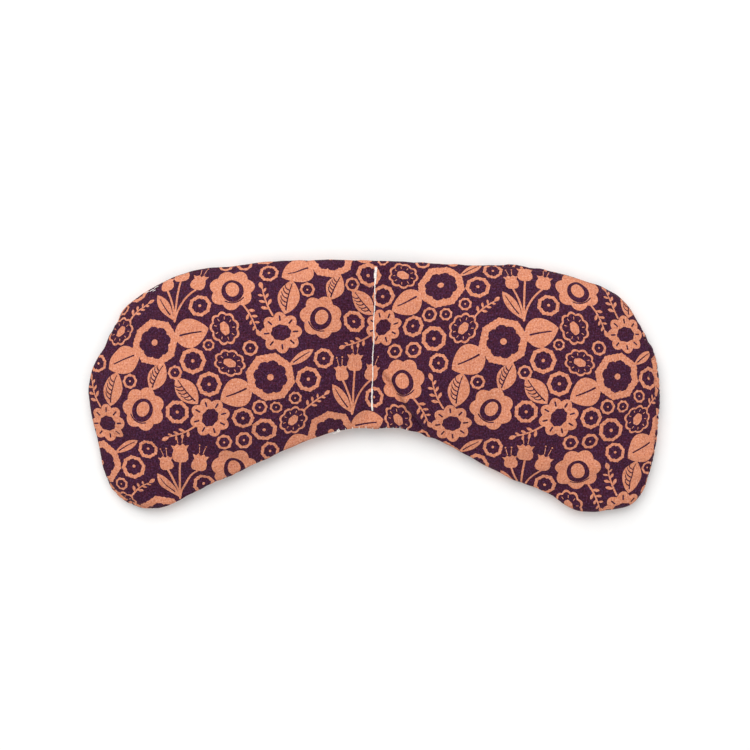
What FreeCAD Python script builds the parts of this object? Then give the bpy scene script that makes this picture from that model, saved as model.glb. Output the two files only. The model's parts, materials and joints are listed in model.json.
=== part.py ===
import FreeCAD, Part
import math
import os

# Eye pillow: two sewn cotton panels round two seed-filled lobes, lying flat with the front up.
# +X runs to the object's right, +Y to the brow edge, +Z up from the table.
# The origin is on the table, under the middle of the object's box. Lengths are in millimetres.

# --- Driving dimensions -----------------------------------------------------------------
HALF_WIDTH = 115.0          # half of the width from tip to tip
STITCH_X = 0.4              # the centre stitch line, which is also the fold line
SEAM_Z = 7.0                # height of the edge seam and of the pinched middle
LOBE_RISE = 13.6            # crown of a lobe above the front panel's edge
CLOTH = 0.4                 # thickness of one layer of cotton
ALLOWANCE = 6.0             # width of the seam allowance turned inside
PINCH_PRESSED = 1.2         # width of flat cloth that the centre stitch presses together, on each side
FOLD_CLEARANCE = 1.1        # from the fold line to the nearest cloth of each lobe's slope
TONGUE = 0.35               # cloth of the left lobe that reaches past the fold line, under the stitch
FILL_GAP = 0.1              # between the seed and the cloth

# How the cloth rises from its edge: exponents of the crown's curve
EDGE_CREST = 2.2
EDGE_START = 1.35
CONTACT_INSET = 0.24        # how far in the cloth meets the table, as a share of the way to the spine
PINCH_CONTACT_INSET = 0.32  # the same, beside the stitch
CROWN_LEVELS = (0.0, 0.10, 0.24, 0.42, 0.62, 0.80, 0.92, 0.97)
BASE_LEVELS = (0.0, 0.30, 0.65, 1.0)

# Thread
THREAD = 0.3                # diameter, drawn square
THREAD_SPACE = 3 * THREAD   # room that the edge seam's threads take inside the cloth
STITCH_TOP_Y = 47.5         # brow end of the centre stitch
STITCH_BOTTOM_Y = -10.0     # nose end of the centre stitch
STITCH_PITCH = 2.2
BACKTACK_TOP = 3            # stitches sewn back over at the brow end
BACKTACK_BOTTOM = 4         # and at the nose end
CLOSING_REACH = 15.0        # half length of the hand-closed turning gap
CLOSING_PITCH = 2.8
CLOSING_BITE = 0.6          # how far a closing stitch reaches in from the edge
TAIL_LENGTH = 2.5
TAIL_DIRECTION = (-1.0, -0.4, 0.0)
KNOT_RADIUS = 0.45
NOTCH_SHARE = 0.8           # the nose notch is the part of an outline after this share of its length
HALVINGS = 40               # steps of the search for a point on the notch

# Outline of each lobe at the seam, from the brow end of the fold line round to its nose end
LEFT_EDGE = (
    (STITCH_X, 50.8),
    (-14.0, 50.7),
    (-44.0, 49.8),
    (-60.0, 47.8),
    (-76.0, 45.4),
    (-92.0, 37.7),
    (-100.4, 31.3),
    (-107.2, 18.0),
    (-113.2, 7.5),
    (-HALF_WIDTH, -4.0),
    (-112.5, -18.0),
    (-108.6, -34.0),
    (-102.0, -44.8),
    (-88.5, -49.9),
    (-78.5, -46.4),
    (-56.5, -36.0),
    (-35.0, -25.8),
    (-16.0, -18.7),
    (STITCH_X, -17.5),
)
RIGHT_EDGE = (
    (STITCH_X, 50.8),
    (17.5, 49.6),
    (38.0, 48.6),
    (56.0, 48.3),
    (70.0, 46.2),
    (88.0, 41.4),
    (99.5, 35.8),
    (107.2, 25.6),
    (112.8, 12.5),
    (HALF_WIDTH, -3.0),
    (114.2, -23.0),
    (111.2, -36.5),
    (105.8, -47.2),
    (95.5, -50.4),
    (85.5, -51.1),
    (75.0, -46.3),
    (57.5, -38.2),
    (38.0, -28.1),
    (19.0, -19.2),
    (STITCH_X, -17.5),
)


class Lobe:
    """One half of the pillow: its outline, its fold line and the spine that its crown runs along."""

    def __init__(self, name, side, edge, spine_start, spine_end):
        self.name = name
        self.side = side
        self.edge = edge
        self.spine_start = spine_start
        self.spine_end = spine_end
        self.slope_x = STITCH_X + side * FOLD_CLEARANCE
        self.reach = abs(spine_start[0] - self.slope_x)
        half_way = inset_points(self, 0.0, 0.5, 0.5, 0.0, self.slope_x)
        self.parameters = chord_parameters(half_way)


LOBE_SPINES = {
    "left": ((-38.0, 11.0), (-80.0, -3.0)),
    "right": ((38.0, 11.0), (82.0, -5.0)),
}


def chord_parameters(points):
    """Curve parameters in proportion to the distance along the points."""
    lengths = [0.0]
    for first, second in zip(points, points[1:]):
        lengths.append(lengths[-1] + first.distanceToPoint(second))
    return [length / lengths[-1] for length in lengths]


def spine_target(lobe, x):
    """The point of the lobe's spine that the cloth at x leans towards."""
    (start_x, start_y), (end_x, end_y) = lobe.spine_start, lobe.spine_end
    share = min(1.0, max(0.0, (x - start_x) / (end_x - start_x)))
    return start_x + share * (end_x - start_x), start_y + share * (end_y - start_y)


def inset_points(lobe, z, edge_inset, pinch_inset, margin, pinch_x):
    """The outline moved in towards the spine by two shares, and by a margin in millimetres."""
    points = []
    last = len(lobe.edge) - 1
    for index, (x, y) in enumerate(lobe.edge):
        if index in (0, last):
            inward = -1.0 if index == 0 else 1.0
            new_x = pinch_x + lobe.side * (lobe.reach * pinch_inset + margin)
            new_y = y + (lobe.spine_start[1] - y) * edge_inset + inward * margin
        else:
            target_x, target_y = spine_target(lobe, x)
            distance = math.dist((x, y), (target_x, target_y))
            nearness = max(0.0, 1.0 - abs(x - pinch_x) / lobe.reach)
            share_x = edge_inset + (pinch_inset - edge_inset) * nearness
            new_x = x + (target_x - x) * (share_x + margin / distance)
            new_y = y + (target_y - y) * (edge_inset + margin / distance)
        points.append(FreeCAD.Vector(new_x, new_y, z))
    return points


def edge_curve(lobe, points):
    """A smooth curve through the outline's points."""
    curve = Part.BSplineCurve()
    curve.interpolate(Points=points, Parameters=lobe.parameters)
    return curve


def section(lobe, z, edge_inset=0.0, pinch_inset=0.0, margin=0.0, pinch_x=None):
    """A closed level outline of the lobe: the curved edge and the straight fold side."""
    if pinch_x is None:
        pinch_x = lobe.slope_x
    points = inset_points(lobe, z, edge_inset, pinch_inset, margin, pinch_x)
    fold_side = Part.LineSegment(points[-1], points[0])
    return Part.Wire([edge_curve(lobe, points).toShape(), fold_side.toShape()])


def prism(wire, height):
    """A flat-topped solid on a level wire."""
    return Part.Face(wire).extrude(FreeCAD.Vector(0, 0, height))


def edge_share(level):
    """How far in towards the spine the cloth is, at a share of its full rise."""
    return 1.0 - (1.0 - level ** EDGE_START) ** (1.0 / EDGE_CREST)


def pinch_share(level):
    """The same beside the stitch, where the cloth starts at a gentler slope."""
    return 1.0 - math.sqrt(1.0 - level)


def crown(lobe, base_z, rise, margin=0.0):
    """The bulge of the front, from a level base to the crown."""
    wires = [
        section(lobe, base_z + rise * level, edge_share(level), pinch_share(level), margin)
        for level in CROWN_LEVELS
    ]
    return Part.makeLoft(wires, True, False)


def belly(lobe, top_z, bottom_z, margin=0.0):
    """The shallow bulge of the back, down to the flat that rests on the table."""
    wires = [
        section(
            lobe,
            top_z + (bottom_z - top_z) * level,
            CONTACT_INSET * edge_share(level),
            PINCH_CONTACT_INSET * level,
            margin,
        )
        for level in BASE_LEVELS
    ]
    return Part.makeLoft(wires, True, False)


def turned_opening(lobe, z, height, margin=0.0):
    """The space inside the seam allowance, through one layer of cloth."""
    pinch_x = lobe.slope_x - lobe.side * (ALLOWANCE - PINCH_PRESSED)
    return prism(section(lobe, z, margin=ALLOWANCE + margin, pinch_x=pinch_x), height)


def rim(lobe, z):
    """One flat layer of cloth at the seam: the allowance, and the tongue under the centre stitch."""
    layer = prism(section(lobe, z), CLOTH).cut(turned_opening(lobe, z, CLOTH))
    if lobe.side > 0:
        return layer
    (_, top_y), (_, bottom_y) = lobe.edge[0], lobe.edge[-1]
    width = STITCH_X + TONGUE - lobe.slope_x
    corner = FreeCAD.Vector(lobe.slope_x, bottom_y, z)
    return layer.fuse(Part.makeBox(width, top_y - bottom_y, CLOTH, corner))


def front_panel(lobe):
    """The upper cloth: a thin dome on its flat rim."""
    base_z = SEAM_Z + CLOTH
    dome = crown(lobe, base_z, LOBE_RISE).cut(crown(lobe, base_z, LOBE_RISE - CLOTH, CLOTH))
    return dome.fuse(rim(lobe, SEAM_Z))


def back_panel(lobe):
    """The lower cloth: a flat-bottomed dish under its flat rim."""
    base_z = SEAM_Z - CLOTH
    dish = belly(lobe, base_z, 0.0).cut(belly(lobe, base_z, CLOTH, CLOTH))
    return dish.fuse(rim(lobe, base_z))


def seed_fill(lobe):
    """The seed: it fills the dome and the dish, and is waisted where the allowances reach in."""
    margin = CLOTH + FILL_GAP + THREAD_SPACE
    top_z = SEAM_Z + CLOTH + FILL_GAP
    bottom_z = SEAM_Z - CLOTH - FILL_GAP
    upper = crown(lobe, top_z, LOBE_RISE - CLOTH - 2 * FILL_GAP, margin)
    lower = belly(lobe, bottom_z, CLOTH + FILL_GAP, margin)
    waist = turned_opening(lobe, bottom_z, top_z - bottom_z, margin)
    return upper.fuse([waist, lower])


def edge_thread(lobe, bottom_z):
    """One thread of the edge seam, laid in the fold between a panel and its allowance."""
    outer = inset_points(lobe, bottom_z, 0.0, 0.0, CLOTH + 1.5 * THREAD, lobe.slope_x)
    inner = inset_points(lobe, bottom_z, 0.0, 0.0, CLOTH + 2.5 * THREAD, lobe.slope_x)
    edges = [
        edge_curve(lobe, outer).toShape(),
        Part.LineSegment(outer[-1], inner[-1]).toShape(),
        edge_curve(lobe, inner).toShape(),
        Part.LineSegment(inner[0], outer[0]).toShape(),
    ]
    return prism(Part.Wire(Part.__sortEdges__(edges)), THREAD)


def bar(x, y, z, size_x, size_y, size_z):
    """A block centred on x and y, standing on z."""
    corner = FreeCAD.Vector(x - size_x / 2, y - size_y / 2, z)
    return Part.makeBox(size_x, size_y, size_z, corner)


def hole_positions():
    """Where the needle went through along the centre stitch, from the brow end."""
    length = STITCH_TOP_Y - STITCH_BOTTOM_Y
    count = round(length / STITCH_PITCH)
    return [STITCH_TOP_Y - length * hole / count for hole in range(count + 1)]


def centre_thread(up):
    """The centre stitch on one face: stitches on the cloth, and legs that meet half way through it."""
    surface_z = SEAM_Z + CLOTH if up else SEAM_Z - CLOTH - THREAD
    leg_z = SEAM_Z if up else SEAM_Z - CLOTH
    holes = hole_positions()
    pieces = []
    for y in holes:
        pieces.append(bar(STITCH_X, y, leg_z, THREAD, THREAD, CLOTH))
        pieces.append(bar(STITCH_X, y, surface_z, THREAD, THREAD, THREAD))
    for index, (start, end) in enumerate(zip(holes, holes[1:])):
        middle, length = (start + end) / 2, start - end - THREAD
        pieces.append(bar(STITCH_X, middle, surface_z, THREAD, length, THREAD))
        if index < BACKTACK_TOP or index >= len(holes) - 1 - BACKTACK_BOTTOM:
            pieces.append(bar(STITCH_X - THREAD, middle, surface_z, THREAD, length, THREAD))
    return pieces[0].fuse(pieces[1:]).removeSplitter()


def needle_holes():
    """The holes that the centre stitch's legs pass through, to cut from the cloth."""
    return [bar(STITCH_X, y, SEAM_Z - CLOTH, THREAD, THREAD, 2 * CLOTH) for y in hole_positions()]


def closing_thread(lobe):
    """Hand stitches over the edge of the nose notch, joined by the thread that runs along the seam."""
    curve = edge_curve(lobe, inset_points(lobe, SEAM_Z, 0.0, 0.0, 0.0, lobe.slope_x))
    first = abs(curve.value(curve.LastParameter).x)
    stations = []
    count = int((CLOSING_REACH - first) / CLOSING_PITCH)
    for index in range(count + 1):
        x = lobe.side * (first + 0.5 * THREAD + index * CLOSING_PITCH)
        stations.append(point_at_x(curve, x))
    pieces = []
    for point in stations:
        pieces.append(closing_stitch(point))
    for start, end in zip(stations, stations[1:]):
        pieces.append(seam_run(start, end))
    if lobe.side < 0:
        knot = stations[-1] + FreeCAD.Vector(0, -THREAD - KNOT_RADIUS / 2, 0)
        pieces.append(Part.makeSphere(KNOT_RADIUS, knot))
        pieces.append(Part.makeCylinder(THREAD / 2, TAIL_LENGTH, knot, FreeCAD.Vector(*TAIL_DIRECTION)))
    return pieces[0].fuse(pieces[1:])


def point_at_x(curve, x):
    """The point of the nose notch's edge at x, found by halving along the curve's last stretch."""
    low, high = NOTCH_SHARE * curve.LastParameter, curve.LastParameter
    rising = curve.value(high).x > curve.value(low).x
    for _ in range(HALVINGS):
        middle = (low + high) / 2
        if (curve.value(middle).x < x) == rising:
            low = middle
        else:
            high = middle
    return curve.value(low)


def closing_stitch(point):
    """One stitch: over the front layer, down the outside of the seam and back under the back layer."""
    outside = bar(point.x, point.y - THREAD / 2, SEAM_Z - CLOTH - THREAD, THREAD, THREAD, 2 * (CLOTH + THREAD))
    over = bar(point.x, point.y + CLOSING_BITE / 2, SEAM_Z + CLOTH, THREAD, CLOSING_BITE, THREAD)
    under = bar(point.x, point.y + CLOSING_BITE / 2, SEAM_Z - CLOTH - THREAD, THREAD, CLOSING_BITE, THREAD)
    return outside.fuse([over, under])


def seam_run(start, end):
    """The thread between two closing stitches, along the outside of the seam."""
    low = SEAM_Z - THREAD / 2
    corners = [
        FreeCAD.Vector(start.x, start.y, low),
        FreeCAD.Vector(end.x, end.y, low),
        FreeCAD.Vector(end.x, end.y - THREAD, low),
        FreeCAD.Vector(start.x, start.y - THREAD, low),
    ]
    return prism(Part.makePolygon(corners + corners[:1]), THREAD)


def main():
    os.makedirs("parts", exist_ok=True)
    lobes = [
        Lobe("left", -1, LEFT_EDGE, *LOBE_SPINES["left"]),
        Lobe("right", 1, RIGHT_EDGE, *LOBE_SPINES["right"]),
    ]
    nodes = {}
    for lobe in lobes:
        nodes["front_panel_" + lobe.name] = front_panel(lobe)
        nodes["back_panel_" + lobe.name] = back_panel(lobe)
        nodes["seed_fill_" + lobe.name] = seed_fill(lobe)
        nodes["edge_needle_thread_" + lobe.name] = edge_thread(lobe, SEAM_Z + CLOTH)
        nodes["edge_bobbin_thread_" + lobe.name] = edge_thread(lobe, SEAM_Z - CLOTH - THREAD)
        nodes["closing_thread_" + lobe.name] = closing_thread(lobe)
    for panel in ("front_panel_left", "back_panel_left"):
        nodes[panel] = nodes[panel].cut(needle_holes())
    nodes["centre_needle_thread"] = centre_thread(up=True)
    nodes["centre_bobbin_thread"] = centre_thread(up=False)
    for name, shape in nodes.items():
        shape.exportStep("parts/" + name + ".step")
        box = shape.BoundBox
        print(
            f"{name}: valid {shape.isValid()}, solids {len(shape.Solids)}, {shape.Volume:.1f} mm3,"
            f" x {box.XMin:.2f} {box.XMax:.2f}, y {box.YMin:.2f} {box.YMax:.2f}, z {box.ZMin:.2f} {box.ZMax:.2f}"
        )


main()
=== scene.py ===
"""The eye pillow's looks: a printed cotton bag round two lobes of flaxseed, sewn through down the middle."""

import bpy
import json
import math
import numpy as np
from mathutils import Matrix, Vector, geometry, kdtree


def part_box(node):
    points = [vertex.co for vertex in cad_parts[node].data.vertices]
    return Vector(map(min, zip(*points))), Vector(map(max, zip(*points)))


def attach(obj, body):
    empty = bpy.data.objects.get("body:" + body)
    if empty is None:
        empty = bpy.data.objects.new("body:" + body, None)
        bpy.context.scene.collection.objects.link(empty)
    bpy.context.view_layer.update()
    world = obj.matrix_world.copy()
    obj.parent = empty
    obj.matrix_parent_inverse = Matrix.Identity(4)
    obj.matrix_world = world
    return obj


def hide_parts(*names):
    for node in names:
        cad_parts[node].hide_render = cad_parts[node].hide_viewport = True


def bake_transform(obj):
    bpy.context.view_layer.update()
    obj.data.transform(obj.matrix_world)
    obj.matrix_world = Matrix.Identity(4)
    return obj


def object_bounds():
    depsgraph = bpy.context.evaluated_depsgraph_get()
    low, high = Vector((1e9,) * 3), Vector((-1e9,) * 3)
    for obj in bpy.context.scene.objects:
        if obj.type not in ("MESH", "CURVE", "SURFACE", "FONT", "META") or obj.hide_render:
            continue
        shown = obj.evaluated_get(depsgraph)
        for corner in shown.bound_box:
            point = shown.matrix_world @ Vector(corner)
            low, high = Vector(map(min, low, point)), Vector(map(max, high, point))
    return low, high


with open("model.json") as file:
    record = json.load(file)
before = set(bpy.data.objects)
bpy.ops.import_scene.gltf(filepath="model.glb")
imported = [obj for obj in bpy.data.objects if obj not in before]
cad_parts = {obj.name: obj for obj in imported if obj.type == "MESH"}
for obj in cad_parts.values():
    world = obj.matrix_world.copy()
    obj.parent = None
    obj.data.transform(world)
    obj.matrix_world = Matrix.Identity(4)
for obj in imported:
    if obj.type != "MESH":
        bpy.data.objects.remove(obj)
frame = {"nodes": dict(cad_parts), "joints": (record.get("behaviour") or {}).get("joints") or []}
CAD_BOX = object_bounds()

# Lengths here are in mm, and the frame's are in metres.
MM = 0.001
SIDES = {"left": -1, "right": 1}     # each lobe's name and its side of the fold
FOLD_X, _, SEAM_Z = np.array(next(j for j in frame["joints"] if j["name"] == "centre_fold")["pos_m"]) / MM
FLOOR_Z = CAD_BOX[0].z / MM
CROWN_Z = CAD_BOX[1].z / MM
STITCH_BOTTOM, STITCH_TOP = (corner.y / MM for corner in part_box("centre_needle_thread"))

CLOTH = 0.35                 # thickness of the cotton
THREAD = 0.34                # thickness of the sewing thread
BAG_GRID = 2.6               # spacing of the simulated cloth's points
PANEL_GRID = 1.15            # spacing of the finished panels' points
INNER_GRID = 1.6             # spacing of the points of the cloth's inner face
EDGE_STEP = 0.9              # spacing along the finished panels' edge
FINE_STEP = 0.25             # spacing along the edge where hand stitches are laid out
SLACK = np.array([1.03, 1.075])     # how much larger the panels were cut than they lie once filled
ALLOWANCE = 4.0              # cloth turned in beyond the edge seam
EDGE_INSET = 0.2             # the seam's line lies this far inside the cloth's outermost edge
SOFTNESS = 0.12              # how gently the cloth meets the floor


# ---- points, rings and objects

def unit(vectors):
    """The vectors, each scaled to a length of one."""
    return vectors / np.linalg.norm(vectors, axis=-1, keepdims=True)


def stack(*coordinates):
    """Points from their coordinates, each an array or one number for all."""
    return np.column_stack(np.broadcast_arrays(*coordinates))


def turned_left(vectors):
    """Flat vectors, each turned by a quarter to the left."""
    return stack(-vectors[:, 1], vectors[:, 0])


def ease(value, low, high):
    """0 below low, 1 above high and a smooth rise between."""
    t = np.clip((value - low) / (high - low), 0, 1)
    return t * t * (3 - 2 * t)


def travelled(path):
    """How far along a path each of its points lies."""
    return np.concatenate([[0], np.cumsum(np.linalg.norm(np.diff(path, axis=0), axis=1))])


def points_along(path, distances):
    return stack(*[np.interp(distances, travelled(path), coordinate) for coordinate in path.T])


def resample(outline, step):
    """Evenly spaced points round a closed outline."""
    ring = np.vstack([outline, outline[:1]])
    length = travelled(ring)[-1]
    count = int(round(length / step))
    return points_along(ring, np.arange(count) * length / count)


def smooth_ring(values, passes):
    """The values round a closed ring, averaged with their neighbours."""
    for _ in range(passes):
        values = (np.roll(values, 1, axis=0) + 2 * values + np.roll(values, -1, axis=0)) / 4
    return values


def outwards(ring, passes=0):
    """The outward direction at each point of an anticlockwise ring, smoothed that many times."""
    along = np.roll(ring, -1, axis=0) - np.roll(ring, 1, axis=0)
    return unit(smooth_ring(-turned_left(along), passes))


def bumps(ring, places, power):
    """The sum of round bumps, each x, y, reach and height in mm, at each point of a ring."""
    return sum(height * np.exp(-(np.linalg.norm(ring - [x, y], axis=1) / reach) ** power)
               for x, y, reach, height in places)


def waves(points, length, seed):
    """Smooth, repeatable unevenness of about that wavelength, mostly between -1 and 1."""
    chance = np.random.default_rng(seed)
    total = np.zeros(len(points))
    count = 14
    for _ in range(count):
        heading = chance.uniform(0, 2 * math.pi)
        way = np.array([math.cos(heading), math.sin(heading)]) * 2 * math.pi
        way /= length * chance.uniform(0.75, 1.4)
        total += np.sin(points @ way + chance.uniform(0, 2 * math.pi))
    return total * 6 / 7 / math.sqrt(count)


def within(points, outline):
    """Which points lie inside a closed outline."""
    x, y = points.T
    result = np.zeros(len(points), bool)
    for (x0, y0), (x1, y1) in zip(outline, np.roll(outline, -1, axis=0)):
        crosses = (y0 > y) != (y1 > y)
        if crosses.any():
            result[crosses] ^= x[crosses] < x0 + (y[crosses] - y0) * (x1 - x0) / (y1 - y0)
    return result


def search_tree(points):
    """A tree that finds the nearest of some flat points."""
    tree = kdtree.KDTree(len(points))
    for i, (x, y) in enumerate(points):
        tree.insert((x, y, 0), i)
    tree.balance()
    return tree


def border_loops(faces):
    """The closed loops round a patch of faces, each in order with the patch on its left."""
    used = {pair for face in faces for pair in zip(face, face[1:] + face[:1])}
    after = {a: b for a, b in used if (b, a) not in used}
    loops = []
    while after:
        here, loop = min(after), []
        while here in after:
            loop.append(here)
            here = after.pop(here)
        loops.append(np.array(loop))
    return loops


def add_object(name, data):
    """An object in the scene that holds the data."""
    made = bpy.data.objects.new(name, data)
    bpy.context.scene.collection.objects.link(made)
    return made


def add_mesh(name, points, faces):
    """A mesh object in the scene, from points in metres."""
    mesh = bpy.data.meshes.new(name)
    mesh.from_pydata(np.asarray(points).tolist(), [], faces)
    return add_object(name, mesh)


# ---- outline

def outer_loop(mesh):
    """The outer edge of a mesh's flat faces at the seam's height, as x and y in mm."""
    places, faces = {}, []
    for polygon in mesh.polygons:
        corners = [mesh.vertices[i].co / MM for i in polygon.vertices]
        if all(abs(c.z - SEAM_Z) < 1e-3 for c in corners):
            faces.append([places.setdefault((round(c.x, 4), round(c.y, 4)), len(places)) for c in corners])
    points = np.array(list(places))
    return max((points[loop] for loop in border_loops(faces)), key=lambda loop: np.ptp(loop, axis=0).prod())


def seam_outline():
    """The pillow's outline at the height of its seam, anticlockwise, from the CAD front panels."""
    halves = []
    for side, sign in SIDES.items():
        loop = outer_loop(frame["nodes"][f"front_panel_{side}"].data)
        keep = (loop[:, 0] - FOLD_X) * sign > 2.0
        first = next(i for i in range(len(loop)) if keep[i] and not keep[i - 1])
        half = np.roll(loop, -first, axis=0)[np.roll(keep, -first)]
        runs_up = half[0, 1] < half[-1, 1]
        halves.append(half if runs_up == (side == "right") else half[::-1])
    return np.vstack(halves)


# Where the edge is pinched outwards: x, y, reach and height.
PUCKERS = ((21.8, -19.2, 1.9, 0.7), (-106.5, 19.5, 4.0, 0.5), (-106.5, -36.0, 9.0, 0.7),
           (112.5, -33.0, 9.0, 0.6))


def sewn_outline():
    """The seam outline with the small unevenness of hand cutting and turning."""
    ring = smooth_ring(resample(seam_outline(), 0.5), 16)
    uneven = smooth_ring(0.12 * waves(ring, 13, 3) + 0.08 * waves(ring, 6, 4), 4) + bumps(ring, PUCKERS, 2)
    return ring + outwards(ring) * (uneven - EDGE_INSET)[:, None]


class Edge:
    """A closed outline, for measuring how far points lie from it."""

    def __init__(self, ring):
        self.outward = outwards(ring, 6)
        self.tree = search_tree(ring)

    def nearest(self, points):
        """For each point the index of the nearest point of the outline, and the distance to it."""
        found = [self.tree.find((x, y, 0)) for x, y in points]
        return np.array([f[1] for f in found]), np.array([f[2] for f in found])


class Field:
    """The distance to the outline, and its nearest point, looked up on a fine square grid."""

    def __init__(self, step=0.8):
        self.step = step
        self.low = OUTLINE.min(0) - 3
        shape = np.ceil((OUTLINE.max(0) + 3 - self.low) / step).astype(int) + 1
        ys, xs = np.mgrid[0:shape[1], 0:shape[0]]
        points = stack(xs.ravel(), ys.ravel()) * step + self.low
        index, far = EDGE.nearest(points)
        far[~within(points, OUTLINE)] *= -1
        self.values = far.reshape(*xs.shape, 1)
        self.rims = OUTLINE[index].reshape(*xs.shape, 2)

    def lookup(self, grid, points):
        place = np.clip((points - self.low) / self.step, 0, np.array(grid.shape[1::-1]) - 1.001)
        (i, j), (u, v) = place.astype(int).T, (place % 1).T[..., None]
        return ((grid[j, i] * (1 - u) + grid[j, i + 1] * u) * (1 - v)
                + (grid[j + 1, i] * (1 - u) + grid[j + 1, i + 1] * u) * v)

    def depth(self, points):
        """How far inside the outline each point lies."""
        return self.lookup(self.values, points)[:, 0]

    def rim(self, points):
        """The nearest point of the outline to each point."""
        return self.lookup(self.rims, points)


OUTLINE = sewn_outline()
EDGE = Edge(OUTLINE)
FIELD = Field()

# Where the edge has rolled up over the front, so that a strip of the back shows: x, y, reach and amount.
ROLLS = ((114.5, 4.0, 20.0, 1.15), (113.5, -27.0, 11.0, 0.7), (-101.0, -45.0, 12.0, 0.8),
         (-103.0, 27.0, 8.0, 0.4), (60.0, 47.5, 14.0, 0.45), (-62.0, -38.5, 12.0, 0.3))
ROLL_RISE = 1.6              # how much the seam rises for each mm that it rolls in
# How far the edge sags towards the floor all round the lobes, and where it sags more: x, y, reach and amount.
SAG = 1.3
SAGS = ((-104.0, -38.0, 26.0, 1.7), (106.0, -44.0, 22.0, 0.8), (-108.0, 15.0, 25.0, 0.6),
        (60.0, -45.0, 25.0, 0.5))
ROLL = bumps(OUTLINE, ROLLS, 4)
DROOP = (SAG + bumps(OUTLINE, SAGS, 4)) * ease(np.abs(OUTLINE[:, 0] - FOLD_X), 8, 40)
SEAM = stack(*(OUTLINE - EDGE.outward * ROLL[:, None]).T, SEAM_Z + ROLL_RISE * ROLL - DROOP)


# ---- flat triangles

def grid_inside(step, clear):
    """A triangular grid of points inside the outline, that far clear of its edge and of the stitch line."""
    low, high = OUTLINE.min(0), OUTLINE.max(0)
    rows = np.arange(low[1], high[1], step * math.sqrt(0.75))
    starts = [low[0] + (k % 2) * step / 2 for k in range(len(rows))]
    points = np.vstack([stack(np.arange(start, high[0], step), y) for start, y in zip(starts, rows)])
    points = points[within(points, OUTLINE)]
    points = points[EDGE.nearest(points)[1] > clear]
    return points[np.abs(points[:, 0] - FOLD_X) > clear]


def stitch_line(step):
    """Points down the middle of the pillow, from the notch to the brow edge."""
    column = OUTLINE[np.abs(OUTLINE[:, 0] - FOLD_X) < 2.0, 1]
    count = int(round(np.ptp(column) / step))
    return stack(FOLD_X, np.linspace(column.min(), column.max(), count + 1)[1:-1])


def loop_links(start, count):
    return [(start + i, start + (i + 1) % count) for i in range(count)]


def triangulate(points, links, outline):
    """Triangles over the points and inside the outline, with the links as edges, each facing up."""
    made = geometry.delaunay_2d_cdt([Vector(p) for p in points], links, [], 0, 1e-5)
    corners = np.array([tuple(v) for v in made[0]])
    faces = np.array([f for f in made[2] if len(f) == 3])
    a, b, c = (corners[faces[:, k]] for k in range(3))
    turn = (turned_left(b - a) * (c - a)).sum(1)
    faces[turn < 0] = faces[turn < 0][:, ::-1]
    faces = faces[np.abs(turn) > 1e-9]
    return corners, faces[within(corners[faces].mean(1), outline)]


def quilted(edge_step, step, clear, shapes=()):
    """Triangles over the pillow, with edges along its outline, its stitch line and the given shapes.

    Returns the points and the triangles, and the points round the edge, which come first."""
    edge, middle = resample(OUTLINE, edge_step), stitch_line(step)
    points = [edge, middle, grid_inside(step, clear)]
    links = loop_links(0, len(edge))
    links += [(k, k + 1) for k in range(len(edge), len(edge) + len(middle) - 1)]
    count = sum(len(p) for p in points)
    for shape in shapes:
        links += loop_links(count, len(shape))
        count += len(shape)
    return *triangulate(np.vstack([*points, *shapes]), links, edge), edge


# ---- simulated bag

SIM_SCALE = 20.0             # the cloth is simulated this many times larger, where its springs are steadier
SIM_FRAMES = 60
SIM_GATHER = 15              # frames in which the cut panels are gathered to the sewn outline
SPRINGS = {"quality": 8, "mass": 0.3, "tension_stiffness": 60, "compression_stiffness": 30,
           "shear_stiffness": 25, "bending_stiffness": 2.0, "air_damping": 2.0, "use_pressure": True,
           "uniform_pressure_force": 8.0, "vertex_group_mass": "pins"}


def add_slab(size):
    """The floor under the simulated bag."""
    reach, top = 200 * size, FLOOR_Z * size
    square = [(-reach, -reach), (reach, -reach), (reach, reach), (-reach, reach)]
    corners = [(x, y, z) for z in (top - 0.4, top) for x, y in square]
    walls = [(k, (k + 1) % 4, (k + 1) % 4 + 4, k + 4) for k in range(4)]
    slab = add_mesh("sim_floor", corners, [(3, 2, 1, 0), (4, 5, 6, 7), *walls])
    slab.modifiers.new("Collision", "COLLISION")
    return slab


def settle(cut, gathered, triangles, pinned):
    """Where the bag's points come to rest. The pinned points are drawn in from where they were cut."""
    size = SIM_SCALE * MM
    bag = add_mesh("bag_sim", cut * size, triangles.tolist())
    bag.vertex_groups.new(name="pins").add(np.flatnonzero(pinned).tolist(), 1.0, "REPLACE")
    bag.shape_key_add(name="cut")
    key = bag.shape_key_add(name="gathered", from_mix=False)
    key.data.foreach_set("co", (gathered * size).ravel())
    for moment, share in ((1, 0.0), (SIM_GATHER, 1.0)):
        key.value = share
        key.keyframe_insert("value", frame=moment)
    slab = add_slab(size)
    cloth = bag.modifiers.new("Cloth", "CLOTH")
    for setting, value in SPRINGS.items():
        setattr(cloth.settings, setting, value)
    cloth.settings.effector_weights.gravity = 0.0
    cloth.collision_settings.use_collision = True
    cloth.point_cache.frame_start = 1
    cloth.point_cache.frame_end = SIM_FRAMES
    scene = bpy.context.scene
    for step in range(1, SIM_FRAMES + 1):
        scene.frame_set(step)
    evaluated = bag.evaluated_get(bpy.context.evaluated_depsgraph_get())
    settled = np.zeros(len(cut) * 3, np.float32)
    evaluated.data.vertices.foreach_get("co", settled)
    scene.frame_set(1)
    bpy.data.objects.remove(bag)
    bpy.data.objects.remove(slab)
    return settled.reshape(-1, 3).astype(float) / size


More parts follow.
